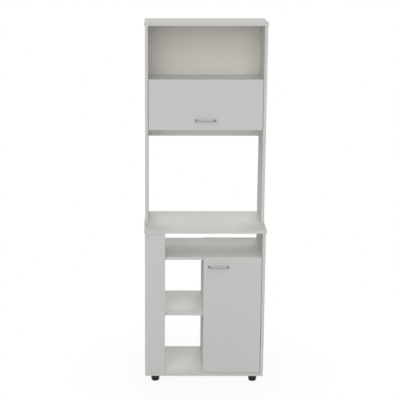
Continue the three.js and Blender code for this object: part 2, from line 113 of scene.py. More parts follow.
# ---------------------------------------------------------------- floor, backdrop and lamps
# A pale studio: a wide matt floor that fades into a white backdrop, a low and a high soft lamp in
# front of the cabinet, a weak one to the left, one behind it and a dim fill all round.

FLOOR_SPREAD = 14.0
FLOOR_GREY = 0.82
FLOOR_GLOW = 0.94        # share of the floor's white that no shadow reaches, near the cabinet
FADE = (0.3, 0.75)       # between these distances from the middle that share rises to the whole
FILL = 0.12
FILL_COLOUR = (1.0, 0.995, 0.985, 1.0)
WHITE = (1.0, 1.0, 1.0, 1.0)


class Shade:
    """A socket in a node tree. Numbers and other sockets join it in Python expressions."""

    def __init__(self, tree, socket=None):
        self.tree, self.socket = tree, socket

    def node(self, kind, settings=None, *inputs, out=0, **named):
        """A new node: its settings first, then its inputs by place or by name. Gives one output."""
        made = self.tree.nodes.new(kind if "Node" in kind else "ShaderNode" + kind)
        for name, value in (settings or {}).items():
            if name == "stops":
                set_stops(made.color_ramp, value)
            else:
                setattr(made, name, value)
        sockets = {socket.identifier: socket for socket in made.inputs}
        for key, value in [*enumerate(inputs), *named.items()]:
            socket = sockets[key] if key in sockets else made.inputs[key]
            if isinstance(value, Shade):
                self.tree.links.new(value.socket, socket)
            elif value is not None:
                socket.default_value = value
        return Shade(self.tree, made.outputs[out]) if made.outputs else None

    def math(self, operation, *values):
        return self.node("Math", {"operation": operation}, *values)

    def __add__(self, other):
        return self.math("ADD", self, other)

    def __rsub__(self, other):
        return self.math("SUBTRACT", other, self)

    def __mul__(self, other):
        return self.math("MULTIPLY", self, other)

    def __gt__(self, other):
        return self.math("GREATER_THAN", self, other)

    __radd__ = __add__
    __rmul__ = __mul__

    def limit(self):
        """This value kept between 0 and 1."""
        return self.node("Clamp", {}, self, 0.0, 1.0)

    def between(self, low, high):
        """0 at low, 1 at high, turning smoothly between them."""
        return self.node("MapRange", {"interpolation_type": "SMOOTHSTEP"}, self, low, high,
                         0.0, 1.0)

    def blend(self, first, second):
        """One colour where this value is 0, the other where it is 1."""
        return self.node("Mix", {"data_type": "RGBA"}, self, A_Color=first, B_Color=second, out=2)


def set_stops(ramp, stops):
    """The stops of a colour ramp, each a position and a colour."""
    while len(ramp.elements) < len(stops):
        ramp.elements.new(1.0)
    for element, (position, colour) in zip(ramp.elements, stops):
        element.position = position
        element.color = (*colour, 1.0)


def seen_directly(shade):
    """1 for what the camera sees, also in a mirror or through glass, and 0 for light that falls on
    a matt face."""
    outputs = shade.node("LightPath").socket.node.outputs
    straight, mirrored, through = [Shade(shade.tree, outputs[name]) for name in (
        "Is Camera Ray", "Is Glossy Ray", "Is Transmission Ray")]
    return (straight + mirrored + through).limit()


world = bpy.data.worlds.new("studio")
world.use_nodes = True
world.node_tree.nodes.clear()
room = Shade(world.node_tree)
backdrop = room.node("Background", {}, Color=WHITE, Strength=1.0)
fill = room.node("Background", {}, Color=FILL_COLOUR, Strength=FILL)
surround = room.node("MixShader", {}, seen_directly(room), fill, backdrop)
room.node("OutputWorld", {}, surround)
scene.world = world

floor_mesh = bpy.data.meshes.new("floor")
floor_half = FLOOR_SPREAD / 2
floor_corners = [(x * floor_half, y * floor_half, 0)
                 for x, y in ((-1, -1), (1, -1), (1, 1), (-1, 1))]
floor_mesh.from_pydata(floor_corners, [], [(0, 1, 2, 3)])
floor = bpy.data.objects.new("floor", floor_mesh)
scene.collection.objects.link(floor)
floor_material = bpy.data.materials.new("studio_floor")
floor_material.use_nodes = True
floor_material.node_tree.nodes.clear()
ground = Shade(floor_material.node_tree)
matt = ground.node("BsdfDiffuse", {}, Color=(FLOOR_GREY, FLOOR_GREY, FLOOR_GREY, 1.0))
glow = ground.node("Emission", {}, Color=WHITE, Strength=1.0)
spot = ground.node("TexCoord", {}, out="Object")
distance = ground.node("VectorMath", {"operation": "LENGTH"}, spot, out="Value")
whiteness = distance.between(*FADE) * (1 - FLOOR_GLOW) + FLOOR_GLOW
whitened = ground.node("MixShader", {}, seen_directly(ground) * whiteness, matt, glow)
ground.node("OutputMaterial", {}, whitened)
floor_mesh.materials.append(floor_material)
floor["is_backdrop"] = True


def far_lamp(name, azimuth, elevation, spread, strength):
    """A soft lamp so far off that its light is even. The way to it and its spread in the sky are in
    degrees; azimuth 0 is in front of the cabinet, and -90 to its left."""
    data = bpy.data.lights.new(name, "SUN")
    data.angle, data.energy = math.radians(spread), strength
    turn, rise = math.radians(azimuth), math.radians(elevation)
    way = Vector((math.sin(turn) * math.cos(rise), -math.cos(turn) * math.cos(rise),
                  math.sin(rise)))
    lamp = bpy.data.objects.new(name, data)
    lamp.rotation_euler = way.to_track_quat("Z", "Y").to_euler()
    scene.collection.objects.link(lamp)


far_lamp("front_lamp", azimuth=-2, elevation=14, spread=50, strength=1.22)
far_lamp("key_lamp", azimuth=-2, elevation=52, spread=44, strength=0.58)
far_lamp("left_lamp", azimuth=-45, elevation=14, spread=50, strength=0.25)
far_lamp("rear_lamp", azimuth=180, elevation=24, spread=44, strength=2.4)

# ---------------------------------------------------------------- melamine boards
# Particle board 15 mm thick, faced on both sides with a light grey melamine film and banded along
# the edges that show with a rounded plastic strip. Edges that turn to the wall, or that another
# board covers, are left bare.

ARRIS = 0.0007           # rounding of a banded edge
ARRIS_STEPS = 3          # faces round a rounded edge
NEAR_SIDE = ARRIS * 1.1  # a face whose middle is nearer than this to a board's side belongs to it
SQUARE = 0.99            # least part of its normal along an axis, for a face square to the axis
WELD = 1e-5
ONE_FACE = 0.5           # degrees; triangles that turn by less are one face
CARCASE_GREY = (0.742, 0.738, 0.712)
# The fronts' film is a darker grey than the carcase film, though both are one melamine: painted
# shade on the faces that take most light.
SHADED_FRONT_GREY = (0.665, 0.665, 0.652)
# The bands are darker than the carcase film too: painted shade, as on the fronts.
SHADED_BAND_GREY = (0.665, 0.662, 0.640)
CHIP_SIZE = 0.0022


def new_material(name, **constants):
    """A Principled material with the given constants on its own sockets, and its socket maker."""
    material = bpy.data.materials.new(name)
    material.use_nodes = True
    surface = material.node_tree.nodes["Principled BSDF"]
    for key, value in constants.items():
        surface.inputs[key].default_value = value
    return material, Shade(material.node_tree), surface


def feed(shade, surface, **links):
    """Links worked-out values to a Principled node's sockets."""
    for key, value in links.items():
        shade.tree.links.new(value.socket, surface.inputs[key.replace("_", " ")])


def place_of(shade):
    """The point on the piece, in metres, as it stands in the room."""
    return shade.node("TexCoord", {}, out="Object")


def noise(shade, where, size, detail=2.0, roughness=0.5):
    """Smooth noise whose features measure about size metres."""
    return shade.node("TexNoise", {}, Vector=where, Scale=1 / size, Detail=detail,
                      Roughness=roughness)


def relief(shade, height, depth):
    """A bump of that depth in metres."""
    return shade.node("Bump", {}, Strength=1.0, Distance=depth, Height=height)


def tone(colour, factor=1.0):
    """A colour made lighter or darker, with its alpha."""
    return (*(channel * factor for channel in colour), 1.0)


def melamine(name, grey):
    """Smooth matt film with a fine pearl grain, the faintest clouding and a few fine specks."""
    material, shade, surface = new_material(name, **{"Specular IOR Level": 0.02})
    where = place_of(shade)
    clouds = noise(shade, where, size=0.35)
    pearl = noise(shade, where, size=0.0009, detail=3.0)
    specks = noise(shade, where, size=0.004).between(0.68, 0.74)
    colour = (clouds * 0.7 + pearl * 0.3).blend(tone(grey, 0.985), tone(grey, 1.015))
    colour = (specks * 0.25).blend(colour, tone(grey, 0.93))
    feed(shade, surface, Base_Color=colour, Roughness=0.74 + 0.10 * clouds + 0.06 * pearl,
         Normal=relief(shade, pearl, depth=0.00002))
    return material


def edge_band():
    """Plastic strip in the fronts' darker grey, which is painted shade, smoother than the film,
    with fine lines from the planing."""
    material, shade, surface = new_material("edge_band", **{"Specular IOR Level": 0.15})
    where = place_of(shade)
    planing = noise(shade, where, size=0.0006, detail=1.0)
    waves = noise(shade, where, size=0.05)
    colour = planing.blend(tone(SHADED_BAND_GREY, 0.98), tone(SHADED_BAND_GREY, 1.02))
    feed(shade, surface, Base_Color=colour, Roughness=0.46 + 0.12 * waves,
         Normal=relief(shade, planing, depth=0.000015))
    return material


def bare_chipboard():
    """Sawn particle board: tan chips with dark gaps between them, and finer chips over them."""
    material, shade, surface = new_material("bare_chipboard", Roughness=0.85)
    where = place_of(shade)
    chips = shade.node("TexVoronoi", {"feature": "F1"}, Vector=where, Scale=1 / CHIP_SIZE,
                       out="Color")
    chip = shade.node("SeparateColor", {}, chips)
    gaps = shade.node("TexVoronoi", {"feature": "DISTANCE_TO_EDGE"}, Vector=where,
                      Scale=1 / CHIP_SIZE)
    fines = noise(shade, where, size=0.0008, detail=3.0)
    wood = shade.node("ValToRGB", {"stops": [(0.0, (0.22, 0.13, 0.07)), (0.5, (0.40, 0.27, 0.15)),
                                             (1.0, (0.56, 0.42, 0.26))]}, chip * 0.7 + fines * 0.3)
    colour = (1 - gaps.between(0.0, 0.12)).blend(wood, (0.12, 0.07, 0.04, 1.0))
    feed(shade, surface, Base_Color=colour,
         Normal=relief(shade, gaps.between(0.0, 0.2) + fines * 0.4, depth=0.0003))
    return material


CARCASE_FILM = melamine("carcase_film", CARCASE_GREY)
SHADED_FRONT_FILM = melamine("front_film", SHADED_FRONT_GREY)
EDGE_BAND = edge_band()
BARE_CHIPBOARD = bare_chipboard()


def piece(name, mesh, slot, *replaced, body=None):
    """A finished mesh as a piece that stands for CAD nodes and rides on their body, or on the one
    that is given."""
    made = bpy.data.objects.new(name, mesh)
    scene.collection.objects.link(made)
    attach(made, body or body_of(frame["nodes"][replaced[0]])[0])
    if replaced:
        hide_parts(*replaced)


def whole_faces(node):
    """A copy of a CAD node's mesh with its triangles joined back into whole faces."""
    form = bmesh.new()
    form.from_mesh(frame["nodes"][node].data)
    bmesh.ops.remove_doubles(form, verts=form.verts, dist=WELD)
    bmesh.ops.dissolve_limit(form, angle_limit=math.radians(ONE_FACE), verts=form.verts,
                             edges=form.edges)
    return form


def mesh_of(name, form, *materials):
    """The mesh of a finished form, with its materials."""
    mesh = bpy.data.meshes.new(name)
    form.to_mesh(mesh)
    form.free()
    for material in materials:
        mesh.materials.append(material)
    return mesh


def round_arrises(form, low, high, radius):
    """Rounds the outer edges of a board, and leaves its bores and grooves sharp."""
    def on_side(vertex, axis):
        if abs(vertex.co[axis] - low[axis]) < WELD:
            return -1
        return 1 if abs(vertex.co[axis] - high[axis]) < WELD else 0

    def outer(edge):
        first, second = edge.verts
        shared = [axis for axis in range(3)
                  if on_side(first, axis) and on_side(first, axis) == on_side(second, axis)]
        return len(shared) == 2 and len(edge.link_faces) == 2

    rounded = bmesh.ops.bevel(form, geom=[edge for edge in form.edges if outer(edge)],
                              offset=radius, offset_type="OFFSET", segments=ARRIS_STEPS,
                              profile=0.5, affect="EDGES", clamp_overlap=True)
    for face in rounded["faces"]:
        face.smooth = True
    form.normal_update()


def side_of(face, low, high):
    """Which outer side of the board a face belongs to, as an axis and a sign, or None in a cut."""
    normal, middle = face.normal, face.calc_center_median()
    axis = max(range(3), key=lambda k: abs(normal[k]))
    sign = 1 if normal[axis] > 0 else -1
    plane = high[axis] if sign > 0 else low[axis]
    return (axis, sign) if abs(middle[axis] - plane) < NEAR_SIDE else None


# A board's sides, each an axis and a sign.
X, Y, Z = range(3)
LEFT, RIGHT = (X, -1), (X, 1)
REAR = (Y, 1)
BELOW, ABOVE = (Z, -1), (Z, 1)
UPRIGHT = (REAR, BELOW, ABOVE)   # the bare sides of a board that stands between two others
SHELF = (REAR, LEFT, RIGHT)      # and of one that lies between two others
BARE_SIDES = {
    "worktop": (REAR,), "top_board": (REAR,), "bottom_board": (REAR,),
    "base_side_left": UPRIGHT, "base_side_right": UPRIGHT,
    "hutch_side_left": UPRIGHT, "hutch_side_right": UPRIGHT,
    "divider": UPRIGHT, "left_front_panel": (),
    "middle_shelf": SHELF, "slot_shelf": SHELF, "loose_shelf": SHELF, "hutch_floor": SHELF,
    "hutch_shelf": SHELF, "rear_rail": (LEFT, RIGHT, ABOVE),
    "door": (), "flap": (),
}
FRONTS = ("door", "flap", "left_front_panel")
FILM, BAND, BARE = range(3)


def dress_board(node, bare_sides):
    """A board with rounded arrises, film on its two faces, and banded or bare edges."""
    low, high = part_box(node)
    size = high - low
    thin = min(range(3), key=lambda k: size[k])
    form = whole_faces(node)
    round_arrises(form, low, high, ARRIS)
    for face in form.faces:
        side = side_of(face, low, high)
        if side is None or side in bare_sides:
            face.material_index = BARE
        elif side[0] == thin and abs(face.normal[thin]) > SQUARE:
            face.material_index = FILM
        else:
            face.material_index = BAND
    # The fronts get the darker film, which is painted shade.
    film = SHADED_FRONT_FILM if node in FRONTS else CARCASE_FILM
    mesh = mesh_of(node + "_board", form, film, EDGE_BAND, BARE_CHIPBOARD)
    piece(mesh.name, mesh, "melamine_board", node)


for board, bare_sides in BARE_SIDES.items():
    dress_board(board, bare_sides)

# ---------------------------------------------------------------- back panels
# Hardboard 3 mm thick, lacquered light grey on the face that looks into the cabinet and raw brown
# behind. Each slides in grooves, and nails hold it to the edge of the shelf that it passes.

LACQUER_GREY = (0.745, 0.726, 0.678)
HARDBOARD_BROWN = (0.26, 0.15, 0.075)
WIRE_PITCH = 0.0013
PANEL_ARRIS = 0.0003
TO_FRONT = -0.5          # a face whose normal points further forward than this is lacquered
LACQUERED, RAW = range(2)


def lacquered_face():
    """Thin roller-coated lacquer: even, with a slight orange-peel surface."""
    material, shade, surface = new_material("panel_lacquer", **{"Specular IOR Level": 0.15})
    where = place_of(shade)
    peel = noise(shade, where, size=0.0016, detail=1.0)
    clouds = noise(shade, where, size=0.25)
    colour = (clouds * 0.6 + peel * 0.4).blend(tone(LACQUER_GREY, 0.98), tone(LACQUER_GREY, 1.02))
    feed(shade, surface, Base_Color=colour, Roughness=0.58 + 0.1 * clouds,
         Normal=relief(shade, peel, depth=0.00003))
    return material


def raw_hardboard():
    """Brown pressed fibre with the mark of the wire screen that it was pressed on."""
    material, shade, surface = new_material("raw_hardboard", Roughness=0.9)
    where = place_of(shade)
    fibres = noise(shade, where, size=0.0014, detail=4.0, roughness=0.7)
    blotches = noise(shade, where, size=0.06)
    screen = shade.node("TexVoronoi", {"feature": "DISTANCE_TO_EDGE"}, Vector=where,
                        Scale=1 / WIRE_PITCH, Randomness=0.15)
    colour = (fibres * 0.7 + blotches * 0.3).blend(tone(HARDBOARD_BROWN, 0.7),
                                                   tone(HARDBOARD_BROWN, 1.35))
    feed(shade, surface, Base_Color=colour,
         Normal=relief(shade, screen.between(0.0, 0.25) + fibres * 0.4, depth=0.00015))
    return material


PANEL_LACQUER = lacquered_face()
RAW_HARDBOARD = raw_hardboard()

for panel in ("hutch_back_panel", "base_back_panel"):
    form = whole_faces(panel)
    round_arrises(form, *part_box(panel), PANEL_ARRIS)
    for face in form.faces:
        face.material_index = LACQUERED if face.normal.y < TO_FRONT else RAW
    mesh = mesh_of(panel + "_sheet", form, PANEL_LACQUER, RAW_HARDBOARD)
    piece(mesh.name, mesh, "back_board", panel)

# ---------------------------------------------------------------- joint fixings
# Plated steel screws with cross heads draw the boards together, and cams pull the divider and the
# tops down. Round stuck-on covers hide those in the cabinet's sides. Nails hold the back panels.

STEEL_GREY = (0.62, 0.62, 0.61)
BASE_ROWS = (-0.120, 0.020, 0.160)     # places of screws and cams from front to rear
HUTCH_ROWS = (0.0, 0.080, 0.160)
CAM_ROWS = {"base": (-0.090, 0.150), "hutch": (0.010, 0.150)}
CAM_FROM_EDGE = 0.034
PANEL_SCREW_INSETS = (0.018, 0.013)    # from the left front panel's left and right edges
HUTCH_NAIL_ROW = [-0.25 + 0.1 * step for step in range(6)]
BASE_NAIL_ROW = [0.03 + 0.075 * step for step in range(4)]
SECOND_BAR = 0.94                      # a cross's second bar is flatter, so that no faces coincide
SPIN_SEED = 11
SOFT_TURN = 32                         # degrees; a softly shaded form is sharp past this


def plated_steel():
    """Zinc or nickel plate on steel: fine draw lines and a slightly uneven sheen."""
    material, shade, surface = new_material("plated_steel", Metallic=1.0)
    where = place_of(shade)
    lines = noise(shade, where, size=0.0004)
    sheen = noise(shade, where, size=0.012)
    colour = sheen.blend(tone(STEEL_GREY, 0.93), tone(STEEL_GREY, 1.05))
    feed(shade, surface, Base_Color=colour, Roughness=0.24 + 0.16 * sheen + 0.06 * lines,
         Normal=relief(shade, lines, depth=0.00001))
    return material


PLATED_STEEL = plated_steel()


def growth(name, shape, sizes, result):
    """A new geometry tree with a shape, some sizes and a material as its named inputs. Gives the
    tree, its node maker and those inputs."""
    tree = bpy.data.node_groups.new(name, "GeometryNodeTree")
    face = tree.interface
    face.new_socket(shape, in_out="INPUT", socket_type="NodeSocketGeometry")
    for size in sizes:
        face.new_socket(size, in_out="INPUT", socket_type="NodeSocketFloat")
    face.new_socket("Material", in_out="INPUT", socket_type="NodeSocketMaterial")
    face.new_socket(result, in_out="OUTPUT", socket_type="NodeSocketGeometry")
    given = tree.nodes.new("NodeGroupInput")
    inputs = [Shade(tree, given.outputs[label]) for label in (shape, *sizes, "Material")]
    return tree, Shade(tree), inputs


def end_growth(steps, shape, material):
    """The tree's last steps: copies made real, the material set, the shape given out."""
    solid = steps.node("GeometryNodeRealizeInstances", {}, shape)
    finished = steps.node("GeometryNodeSetMaterial", {}, solid, Material=material)
    steps.tree.links.new(finished.socket, steps.tree.nodes.new("NodeGroupOutput").inputs[0])


def add_to(joined, shape, place=0):
    """One more shape on a node's socket that takes several."""
    joined.tree.links.new(shape.socket, joined.socket.node.inputs[place])


def head_tree():
    """A head on every point, facing the way that the point's attribute says and turned by chance:
    a crowned disc that is sunk a little, with a cross cut into it and a shank behind it."""
    tree, steps, given = growth("fixing_heads", "Places", (
        "Radius", "Height", "Sink", "Crown", "Cross Length", "Cross Width", "Cross Depth",
        "Shank Radius", "Shank Length"), "Heads")
    (places, radius, height, sink, crown, cross_length, cross_width, cross_depth, shank_radius,
     shank_length, material) = given
    ball = steps.node("GeometryNodeMeshUVSphere", {}, Segments=28, Rings=12, Radius=1.0)
    spot = steps.node("SeparateXYZ", {}, steps.node("GeometryNodeInputPosition"))
    x, y, z = [Shade(tree, output) for output in spot.socket.node.outputs]
    rise = steps.math("MINIMUM", steps.math("MAXIMUM", z, 0.0) * crown, 1.0) * height
    fall = steps.math("MAXIMUM", steps.math("MINIMUM", z, 0.0) * crown, -1.0) * sink
    disc = steps.node("GeometryNodeSetPosition", {}, ball,
                      Position=steps.node("CombineXYZ", {}, x * radius, y * radius, rise + fall))
    bar = steps.node("GeometryNodeMeshCube", {}, steps.node(
        "CombineXYZ", {}, cross_length, cross_width, cross_depth * 2))
    lifted = steps.node("GeometryNodeTransform", {}, bar,
                        Translation=steps.node("CombineXYZ", {}, 0.0, 0.0, height))
    across = steps.node("GeometryNodeTransform", {}, lifted, Rotation=(0.0, 0.0, math.pi / 2),
                        Scale=(1.0, 1.0, SECOND_BAR))
    cross = steps.node("GeometryNodeMeshBoolean", {"operation": "UNION"}, None, lifted)
    add_to(cross, across, 1)
    cut = steps.node("GeometryNodeMeshBoolean", {"operation": "DIFFERENCE"}, disc, cross)
    crossed = steps.node("GeometryNodeMergeByDistance", {}, cut, Distance=WELD)
    head = steps.node("GeometryNodeSwitch", {"input_type": "GEOMETRY"}, cross_depth > 0.0,
                      disc, crossed)
    rod = steps.node("GeometryNodeMeshCylinder", {}, Vertices=16, Radius=shank_radius,
                     Depth=shank_length)
    shank = steps.node("GeometryNodeTransform", {}, rod, Translation=steps.node(
        "CombineXYZ", {}, 0.0, 0.0, shank_length * -0.5))
    behind = steps.node("GeometryNodeSwitch", {"input_type": "GEOMETRY"}, shank_length > 0.0,
                        None, shank)
    fixing = steps.node("GeometryNodeJoinGeometry", {}, head)
    add_to(fixing, behind)
    facing = steps.node("GeometryNodeInputNamedAttribute", {"data_type": "FLOAT_VECTOR"},
                        Name="facing")
    upright = steps.node("FunctionNodeAlignRotationToVector", {"axis": "Z"}, Vector=facing)
    chance = steps.node("FunctionNodeRandomValue", {"data_type": "FLOAT"}, Min_001=0.0,
                        Max_001=math.pi, Seed=SPIN_SEED, out=1)
    spin = steps.node("FunctionNodeAxisAngleToRotation", {}, Axis=(0.0, 0.0, 1.0), Angle=chance)
    aimed = steps.node("FunctionNodeRotateRotation", {"rotation_space": "LOCAL"}, upright, spin)
    heads = steps.node("GeometryNodeInstanceOnPoints", {}, places, Instance=fixing, Rotation=aimed)
    end_growth(steps, heads, material)
    return tree


def grown(tree, mesh, **values):
    """The plain mesh that a geometry tree makes of this one, with the values of its inputs."""
    seed = bpy.data.objects.new("seed", mesh)
    scene.collection.objects.link(seed)
    modifier = seed.modifiers.new("grow", "NODES")
    modifier.node_group = tree
    for item in tree.interface.items_tree:
        key = item.name.replace(" ", "_")
        if item.in_out == "INPUT" and key in values:
            modifier[item.identifier] = values[key]
    shapes = bpy.context.evaluated_depsgraph_get()
    made = bpy.data.meshes.new_from_object(seed.evaluated_get(shapes), depsgraph=shapes)
    made.validate()
    seed.modifiers.clear()
    bpy.data.objects.remove(seed)
    return made


def soften(mesh):
    """Smooth shading, except across sharp edges."""
    mesh.polygons.foreach_set("use_smooth", [True] * len(mesh.polygons))
    mesh.set_sharp_from_angle(angle=math.radians(SOFT_TURN))
    return mesh


HEAD_TREE = head_tree()
NO_CROSS = {"Cross_Length": 0.001, "Cross_Width": 0.001, "Cross_Depth": 0.0}
NO_SHANK = {"Shank_Radius": 0.001, "Shank_Length": 0.0}
FILM_COVER = {"Radius": 0.0068, "Height": 0.0005, "Sink": 0.0003, "Crown": 4.0,
              **NO_CROSS, **NO_SHANK}
CAM_COVER = {**FILM_COVER, "Radius": 0.0085}
CAM = {"Radius": 0.0074, "Height": 0.0003, "Sink": 0.008, "Crown": 5.0, "Cross_Length": 0.0086,
       "Cross_Width": 0.0016, "Cross_Depth": 0.0026, **NO_SHANK}
SUNK_SCREW = {"Radius": 0.004, "Height": 0.0003, "Sink": 0.0025, "Crown": 3.0,
              "Cross_Length": 0.0046, "Cross_Width": 0.0009, "Cross_Depth": 0.0016, **NO_SHANK}
NAIL = {"Radius": 0.0023, "Height": 0.0005, "Sink": 0.0005, "Crown": 2.0, **NO_CROSS, **NO_SHANK}
LEFTWARD, RIGHTWARD = (-1.0, 0.0, 0.0), (1.0, 0.0, 0.0)
BACKWARD, DOWNWARD = (0.0, 1.0, 0.0), (0.0, 0.0, -1.0)
STEEL_FINISH = ("fitting_steel", PLATED_STEEL)
COVER_FINISH = ("melamine_board", EDGE_BAND)


def fixings(name, body, finish, facing, places, sizes, *replaced):
    """Like heads at the given places, all facing one way, as one piece."""
    slot, material = finish
    points = bpy.data.meshes.new("places")
    points.from_pydata(places, [], [])
    way = points.attributes.new("facing", "FLOAT_VECTOR", "POINT")
    way.data.foreach_set("vector", [*facing] * len(places))
    mesh = soften(grown(HEAD_TREE, points, Material=material, **sizes))
    piece(name, mesh, slot, *replaced, body=body)


def middle_of(node):
    """The middle of a CAD node's box."""
    low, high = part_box(node)
    return [(low[axis] + high[axis]) / 2 for axis in range(3)]


side_low, side_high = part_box("base_side_right")
outer_x, inner_x = side_high.x, side_low.x
slot_z = middle_of("slot_shelf")[Z]
middle_z = middle_of("middle_shelf")[Z]
hutch_floor_z = middle_of("hutch_floor")[Z]
hutch_shelf_z = middle_of("hutch_shelf")[Z]
_, rail_y, rail_z = middle_of("rear_rail")
both_sides = [(y, slot_z) for y in BASE_ROWS]
both_sides += [(y, z) for y in HUTCH_ROWS for z in (hutch_floor_z, hutch_shelf_z)]
both_sides += [(rail_y, rail_z)]
left_only = [(y, middle_z) for y in BASE_ROWS]
fixings("side_covers_right", "cabinet", COVER_FINISH, RIGHTWARD,
        [(outer_x, y, z) for y, z in both_sides], FILM_COVER)
fixings("side_covers_left", "cabinet", COVER_FINISH, LEFTWARD,
        [(-outer_x, y, z) for y, z in both_sides + left_only], FILM_COVER)

worktop_cam_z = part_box("worktop")[0].z - CAM_FROM_EDGE
top_cam_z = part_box("top_board")[0].z - CAM_FROM_EDGE
cam_places = [(y, worktop_cam_z) for y in CAM_ROWS["base"]]
cam_places += [(y, top_cam_z) for y in CAM_ROWS["hutch"]]
fixings("cam_covers_right", "cabinet", COVER_FINISH, LEFTWARD,
        [(inner_x, y, z) for y, z in cam_places], CAM_COVER)
fixings("cam_covers_left", "cabinet", COVER_FINISH, RIGHTWARD,
        [(-inner_x, y, z) for y, z in cam_places], CAM_COVER)

divider_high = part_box("divider")[1]
fixings("divider_cams", "cabinet", STEEL_FINISH, RIGHTWARD,
        [(divider_high.x, y, divider_high.z - CAM_FROM_EDGE) for y in CAM_ROWS["base"]], CAM)
fixings("divider_screws", "cabinet", STEEL_FINISH, RIGHTWARD,
        [(divider_high.x, y, middle_z) for y in BASE_ROWS], SUNK_SCREW)

side_x, divider_x = middle_of("base_side_right")[X], middle_of("divider")[X]
panel_low, panel_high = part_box("left_front_panel")
panel_y = middle_of("left_front_panel")[Y]
left_inset, right_inset = PANEL_SCREW_INSETS
under = [(x, y) for x in (-side_x, divider_x, side_x) for y in BASE_ROWS]
under += [(panel_low.x + left_inset, panel_y), (panel_high.x - right_inset, panel_y)]
fixings("bottom_screws", "cabinet", STEEL_FINISH, DOWNWARD,
        [(x, y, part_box("bottom_board")[0].z) for x, y in under], SUNK_SCREW)

nail_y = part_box("hutch_back_panel")[1].y
fixings("hutch_panel_nails", "cabinet", STEEL_FINISH, BACKWARD,
        [(x, nail_y, hutch_shelf_z) for x in HUTCH_NAIL_ROW], NAIL)
fixings("base_panel_nails", "cabinet", STEEL_FINISH, BACKWARD,
        [(x, nail_y, slot_z) for x in BASE_NAIL_ROW], NAIL)

# ---------------------------------------------------------------- feet
# Black polypropylene glides, moulded with a hollow up the middle for the screw that holds each one
# to the bottom board. A shallow groove runs round under the top.

FOOT_BLACK = (0.006, 0.006, 0.0065)
FOOT_OUTLINE = ((2.3, 18), (7, 18), (7, 0.8), (7.8, 0), (14, 0), "arc", (20, 6), (21.8, 23.8),
                (21.3, 24.3), (21.35, 25.1), (22, 25.6), (22, 29), (21.4, 30), (2.3, 30))
FOOT_SIDES = 64
FOOT_SCREW = {"Radius": 0.0045, "Height": 0.0022, "Sink": 0.0006, "Crown": 1.6,
              "Cross_Length": 0.005, "Cross_Width": 0.001, "Cross_Depth": 0.0016,
              "Shank_Radius": 0.0019, "Shank_Length": 0.0215}
FOOT_SCREW_SEAT = 0.0177               # height of the head's rim in the hollow
CORNERS = ("front_left", "front_right", "rear_left", "rear_right")
PER_METRE = 1000                       # an outline is in millimetres
ARC_PARTS = 6


def moulded_plastic():
    """Black moulded plastic with a fine spark-eroded grain and a few scuffs."""
    material, shade, surface = new_material("foot_plastic", **{"Specular IOR Level": 0.3})
    where = place_of(shade)
    grain = noise(shade, where, size=0.0005)
    scuffs = noise(shade, where, size=0.006, detail=4.0, roughness=0.7).between(0.55, 0.75)
    colour = (scuffs * 0.4).blend(tone(FOOT_BLACK), (0.02, 0.02, 0.02, 1.0))
    feed(shade, surface, Base_Color=colour, Roughness=0.18 + 0.25 * scuffs + 0.08 * grain,
         Normal=relief(shade, grain, depth=0.00003))
    return material


FOOT_PLASTIC = moulded_plastic()


def circle(form, radius, height, sides):
    """A form's new corners on a circle round the axis. On the axis itself they are all the same."""
    if not radius:
        return [form.verts.new((0, 0, height))] * sides
    turns = [2 * math.pi * side / sides for side in range(sides)]
    return [form.verts.new((radius * math.cos(turn), radius * math.sin(turn), height))
            for turn in turns]


def turned(outline, sides, ring=False):
    """A turned form round the upright axis, from an outline of radii and heights in millimetres,
    which ends on the axis or closes into a ring. The word arc rounds the way to the next point."""
    points = []
    for before, step in zip((None, *outline), outline):
        if step == "arc":
            continue
        if before == "arc":
            (start_r, start_z), (end_r, end_z) = points[-1], step
            for part in range(1, ARC_PARTS):
                bend = math.radians(90 * part / ARC_PARTS)
                points.append((start_r + (end_r - start_r) * math.sin(bend),
                               end_z + (start_z - end_z) * math.cos(bend)))
        points.append(step)
    form = bmesh.new()
    loops = [circle(form, radius / PER_METRE, height / PER_METRE, sides)
             for radius, height in points]
    for loop, onward in zip(loops, loops[1:] + loops[:1] if ring else loops[1:]):
        for side in range(sides):
            corners = (loop[side - 1], loop[side], onward[side], onward[side - 1])
            form.faces.new(tuple(dict.fromkeys(corners)))
    bmesh.ops.recalc_face_normals(form, faces=form.faces)
    return form


def in_place(form, place, way=(0, 0, 1)):
    """A turned form moved to its place, its axis along the given way."""
    turn = Vector(way).to_track_quat("Z", "Y").to_matrix().to_4x4()
    bmesh.ops.transform(form, matrix=Matrix.Translation(place) @ turn, verts=form.verts)
    return form


def meshed(name, material, *forms):
    """One mesh of several forms, softly shaded."""
    whole = bmesh.new()
    for form in forms:
        whole.from_mesh(mesh_of("part", form))
    return soften(mesh_of(name, whole, material))


foot_places = []
for corner in CORNERS:
    node = "foot_" + corner
    x, y, _ = middle_of(node)
    foot_places.append((x, y, FOOT_SCREW_SEAT))
    glide = in_place(turned(FOOT_OUTLINE, FOOT_SIDES, ring=True), (x, y, 0.0))
    piece(node + "_glide", meshed(node + "_glide", FOOT_PLASTIC, glide), "foot_plastic", node)
fixings("foot_screws", None, STEEL_FINISH, DOWNWARD, foot_places, FOOT_SCREW,
        *["foot_screw_" + corner for corner in CORNERS])

# ---------------------------------------------------------------- steel fittings
# Shelf pins of bright zinc-plated steel; cups, arms and plates of the hinges, the stay's stud and
# its bracket pressed from nickel-plated steel, and the cross-head screws that hold them.

STEEL_ARRIS = 0.0002
SHARP_TURN = 30                        # degrees; an edge that turns by more is rounded
DOME_SCREW = {"Radius": 0.0039, "Height": 0.00175, "Sink": 0.0004, "Crown": 2.3,
              "Cross_Length": 0.0044, "Cross_Width": 0.0009, "Cross_Depth": 0.0013, **NO_SHANK}


